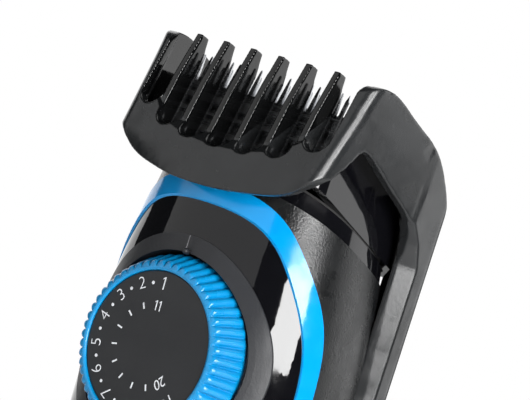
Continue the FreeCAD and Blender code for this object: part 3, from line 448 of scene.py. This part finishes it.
def figure_one(height):
    """Outline of a printed 1 with a short flag."""
    left, right, flag = -0.02, 0.08, -0.18
    shape = [(left, -0.5), (right, -0.5), (right, 0.5), (0.0, 0.5), (flag, 0.37), (flag, 0.27), (left, 0.36)]
    return [(x * height, y * height) for x, y in shape]


def circle(radius, count):
    """Points of a circle, anticlockwise."""
    turns = (2 * math.pi * k / count for k in range(count))
    return [(radius * math.cos(turn), radius * math.sin(turn)) for turn in turns]


def make_dial_marks():
    """Settings 1 to 10 outside with half steps between, and 11 to 20 inside, 11 and 20 in figures."""
    step, first = 24.74, 2.9
    outer_radius, inner_radius = 10.1, 6.5
    outer_height, inner_height = 2.05, 1.65
    outer_one, inner_one = figure_one(2.0), figure_one(1.6)
    finer = -0.045
    for k in range(1, 9):
        spot = on_dial(outer_radius, first + step * k)
        printed_text(f"mark_{k + 1}", str(k + 1), outer_height, spot, finer)
    ten, twenty = on_dial(outer_radius, first + step * 9), on_dial(inner_radius, first + step * 9)
    eleven = on_dial(inner_radius, first)
    printed_text("mark_10_zero", "0", outer_height, ten @ beside(0.62), finer)
    printed_text("mark_20", "20", inner_height, twenty, -0.01, shear=0.12)

    plates = [
        (outer_one, on_dial(outer_radius, first)),
        (outer_one, ten @ beside(-0.78)),
        (inner_one, eleven @ beside(-0.36)),
        (inner_one, eleven @ beside(0.44)),
    ]
    dot = circle(0.26, 20)
    tick = rectangle(0.13, -0.5, 0.5)
    plates += [(dot, on_dial(outer_radius - 0.1, first + step * (k + 0.5))) for k in range(9)]
    plates += [(tick, on_dial(inner_radius, first + step * k)) for k in range(1, 9)]
    points, faces = merge([moved(thin_plate(outline), spot) for outline, spot in plates])
    marks = mesh_object("dial_marks", points, faces, print_white)
    marks.data.shade_flat()
    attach(marks, "dial")


def make_pointer():
    """A fine line on the bezel above the dial, ending in a small nib at the bezel's inner edge."""
    surface, line_low, line_high, nib_height = -17.15, 16.2, 18.4, 15.85
    stand_up = Matrix(((1, 0, 0, 0), (0, 0, -1, surface), (0, 1, 0, 0), (0, 0, 0, 1)))
    drawn = moved(thin_plate(rectangle(0.07, line_low, line_high)), DIAL_PLACE @ stand_up)
    line = mesh_object("pointer_line", *drawn, print_grey)
    line.data.shade_flat()
    rows = [(0.05, -0.55, 0.0), (0.25, -0.52, 0.0), (0.42, -0.38, 0.0), (0.5, -0.15, 0.0), (0.5, 0.6, 0.0)]
    place = DIAL_PLACE @ Matrix.Translation((0.0, surface + 0.1, nib_height))
    nib = mesh_object("pointer_nib", *turned(rows, 24), finishes["bezel"], place)
    for piece in (line, nib):
        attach(piece, "housing")


# ------------------------------------------------------------------ comb

def rear_lip(side):
    """Lip that turns in behind the handle from the rear of an arm; side is 1 on the right."""
    front, rear = 15.2, 16.7
    low, taper_top, high = 122.0, 132.0, 152.0
    outer, inner, low_inner = 19.8, 14.6, 15.9
    right = [(low_inner, low), (outer, low), (outer, high), (inner, high), (inner, taper_top)]
    outline = right if side > 0 else [(-x, z) for x, z in reversed(right)]
    return closed_plate([(x, front, z) for x, z in outline], [(x, rear, z) for x, z in outline])


def fair_arm(point):
    """Start the arm's bevel at its inner face, and sink the arm's root into the hood's side wall."""
    x, y, z = point
    side = 1.0 if x > 0 else -1.0
    tolerance = 0.03
    bevel_x, bevel_y, bevel_top, inner_face = 20.1, 9.6, 140.1, 19.6
    root_x, root_y, root_low, sunk_root = 22.5, 6.6, 142.2, 22.44
    if abs(abs(x) - bevel_x) < tolerance and abs(y - bevel_y) < tolerance and z < bevel_top:
        x = side * inner_face
    if abs(x) > root_x and abs(y - root_y) < tolerance and z > root_low:
        x = side * sunk_root
    return (x, y, z)


def make_comb():
    """The comb is one moulding: its frame, ribs and rear lips are joined, and every edge is softened."""
    parts = []
    for name in ("comb_frame", "comb_ribs"):
        node = nodes[name]
        points = [fair_arm(node.matrix_world @ vertex.co / MM) for vertex in node.data.vertices]
        parts.append((points, [tuple(face.vertices) for face in node.data.polygons]))
    parts += [rear_lip(1), rear_lip(-1)]
    comb = mesh_object("comb_moulding", *merge(parts), finishes["comb_black"])
    solid = comb.modifiers.new("join", "REMESH")
    solid.mode = "VOXEL"
    solid.voxel_size = 0.19 * MM
    solid.use_smooth_shade = True
    soft = comb.modifiers.new("soften", "SMOOTH")
    soft.factor = 0.5
    soft.iterations = 7
    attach(comb, "comb")
    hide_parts("comb_frame", "comb_ribs")


# ------------------------------------------------------------------ cutting head

BLADE_PLACE = Matrix.Translation(Vector((0.0, -13.3, 149.0))) @ Matrix.Rotation(math.radians(-14.0), 4, "X")


def toothed_blade(name, half_width, low, top, front, first_tooth, count, node, body):
    """A ground plate with pointed teeth that get thinner towards their tips."""
    pitch, length, thick, thinned_share = 1.5, 4.5, 0.8, 0.65
    root = top - length
    shoulder = top - 1.2
    outline = [(-half_width, low), (half_width, low), (half_width, shoulder), (half_width - 0.3, top)]
    edge_tooth = half_width - 0.62
    outline += [(edge_tooth, shoulder), (edge_tooth, root + 0.3)]
    for k in range(count - 1, -1, -1):
        centre = first_tooth + pitch * k
        outline += [(centre + 0.42, root), (centre + 0.34, root + 2.2), (centre + 0.2, top - 0.3),
                    (centre + 0.08, top), (centre - 0.08, top), (centre - 0.2, top - 0.3),
                    (centre - 0.34, root + 2.2), (centre - 0.42, root)]
    outline += [(-edge_tooth, root + 0.3), (-edge_tooth, shoulder), (-half_width + 0.3, top),
                (-half_width, shoulder)]
    near, far = [], []
    for x, height in outline:
        along_tooth = max(0.0, (height - root) / length)
        near.append((x, front, height))
        far.append((x, front + thick * (1.0 - thinned_share * along_tooth), height))
    blade = mesh_object(name, *closed_plate(near, far), finishes["blade_steel"], BLADE_PLACE)
    blade.data.shade_flat()
    bevel = blade.modifiers.new("ground", "BEVEL")
    bevel.width = 0.05 * MM
    bevel.segments = 1
    bevel.limit_method = "ANGLE"
    bevel.angle_limit = math.radians(50.0)
    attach(blade, body)
    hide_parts(node)


# ------------------------------------------------------------------ screws and button

def star_wave(angle):
    """Six lobes round a screw's recess."""
    return math.cos(6 * angle)


def screw_head(radius, height, bore):
    """Low round head with a six-lobed recess; its top is at y = -height."""
    rows = [
        (bore * 0.2, -height * 0.2, 0.0), (bore * 0.85, -height * 0.25, bore * 0.14),
        (bore, -height + 0.06, bore * 0.16), (bore * 1.08, -height, bore * 0.16),
        (radius * 0.8, -height, 0.0), (radius * 0.93, -height * 0.93, 0.0), (radius, -height * 0.7, 0.0),
        (radius, 0.0, 0.0),
    ]
    return turned(rows, 48, star_wave)


def make_screws():
    """Four heads sunk in the rear shell and two on the fixed blade."""
    rear_seat, rear_places = 11.22, ((-10.0, 19.0), (10.0, 19.0), (-13.2, 91.5), (13.2, 91.5))
    blade_seat, blade_height, blade_spread = 0.78, 2.8, 12.0
    face_rear = Matrix.Rotation(math.pi, 4, "Z")
    rear = [moved(screw_head(2.25, 1.5, 1.15), Matrix.Translation((x, rear_seat, z)) @ face_rear)
            for x, z in rear_places]
    front = [moved(screw_head(2.2, 0.72, 1.1),
                   BLADE_PLACE @ Matrix.Translation((x, blade_seat, blade_height)))
             for x in (-blade_spread, blade_spread)]
    for name, heads, node in (("housing_screw_heads", rear, "housing_screws"),
                              ("blade_screw_heads", front, "blade_screws")):
        piece = mesh_object(name, *merge(heads), finishes["screw_steel"])
        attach(piece, "housing")
        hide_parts(node)


def make_button():
    """Dished round key with a fine raised rim, a flange behind the shell and a stem to the switch."""
    front, flange_front, flange_rear, stem_end = -16.95, -12.4, -12.0, -11.05
    cap_radius, flange_radius, stem_radius = 5.48, 6.4, 2.0
    rows = [
        (0.3, front + 0.42, 0.0), (2.5, front + 0.38, 0.0), (4.0, front + 0.22, 0.0),
        (4.6, front + 0.06, 0.0), (4.85, front, 0.0), (5.15, front + 0.04, 0.0), (5.4, front + 0.25, 0.0),
        (cap_radius, front + 0.6, 0.0), (cap_radius, flange_front, 0.0),
        (flange_radius, flange_front, 0.0), (flange_radius, flange_rear, 0.0),
        (stem_radius, flange_rear, 0.0), (stem_radius, stem_end, 0.0),
    ]
    place = Matrix.Translation((0.0, 0.0, BUTTON_HEIGHT))
    key = mesh_object("power_key", *turned(rows, 96), finishes["button"], place)
    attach(key, "button")
    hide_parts("power_button")


# ------------------------------------------------------------------ put together

make_camera()
make_world()
make_lights()
make_floor()

finishes = {
    "shell": plastic("shell_grained", (0.007, 0.0075, 0.008), 0.29, 3200.0, 0.00006, 0.25),
    "blue_trim": plastic("trim_blue", (0.0, 0.29, 0.70), 0.16, 900.0, 0.000002, 0.05, coat=0.2),
    "blue_dial": plastic("dial_blue", (0.0, 0.25, 0.56), 0.28, 900.0, 0.000006, 0.05, coat=0.3),
    "gloss_black": plastic("gloss_black", (0.003, 0.003, 0.004), 0.05, 700.0, 0.000001, 0.1,
                           rough_spread=0.02),
    "bezel": plastic("bezel_matt", (0.016, 0.017, 0.020), 0.45, 2600.0, 0.00003, 0.15),
    "dial_face": plastic("dial_face", (0.010, 0.011, 0.013), 0.4, 2400.0, 0.000012, 0.1),
    "comb_black": comb_plastic(),
    "button": plastic("button_black", (0.03, 0.032, 0.036), 0.35, 2000.0, 0.00001, 0.1),
    "seal": plastic("seal_rubber", (0.02, 0.02, 0.02), 0.7, 1500.0, 0.00002, 0.1),
    "socket": plastic("socket_black", (0.02, 0.02, 0.022), 0.5, 1500.0, 0.00002, 0.1),
    "plated_brass": metal("plated_brass", (0.75, 0.6, 0.3), 0.3),
    "cell_wrap": plastic("cell_wrap", (0.08, 0.33, 0.18), 0.3, 300.0, 0.00001, 0.1),
    "board": plastic("board_mask", (0.02, 0.2, 0.08), 0.35, 900.0, 0.00001, 0.2),
    "chips": plastic("chip_black", (0.03, 0.03, 0.03), 0.5, 1200.0, 0.00001, 0.2),
    "light_guide": plastic("light_guide", (0.7, 0.75, 0.8), 0.35, 900.0, 0.00001, 0.05),
    "screw_steel": metal("screw_steel", (0.5, 0.5, 0.52), 0.3),
    "spring_steel": metal("spring_steel", (0.55, 0.55, 0.57), 0.22),
    "motor_steel": metal("motor_steel", (0.6, 0.6, 0.62), 0.3),
    "blade_steel": metal("blade_steel", (0.62, 0.63, 0.65), 0.25),
    "frame_plastic": plastic("frame_plastic", (0.12, 0.12, 0.13), 0.5, 900.0, 0.00002, 0.1),
    "white_plastic": plastic("white_plastic", (0.75, 0.75, 0.73), 0.4, 900.0, 0.00001, 0.05),
}
print_white = plastic("print_white", (0.75, 0.77, 0.80), 0.5, 3000.0, 0.000002, 0.05)
print_grey = plastic("print_grey", (0.16, 0.16, 0.17), 0.4, 3000.0, 0.000002, 0.05)
for entry in frame["record"]["subparts"]:
    node = nodes[entry["node"]]
    node.data.materials.clear()
    node.data.materials.append(finishes[entry["material_slot"]])

make_dial_grip()
make_dial_disc()
make_dial_marks()
make_pointer()
make_comb()
toothed_blade("fixed_blade_ground", half_width=16.0, low=0.0, top=14.0, front=0.0,
              first_tooth=-14.25, count=20, node="fixed_blade", body="housing")
toothed_blade("moving_blade_ground", half_width=13.0, low=5.8, top=13.1, front=0.9,
              first_tooth=-11.5, count=16, node="moving_blade", body="cutter")
make_screws()
make_button()

scene.view_settings.view_transform = "Standard"
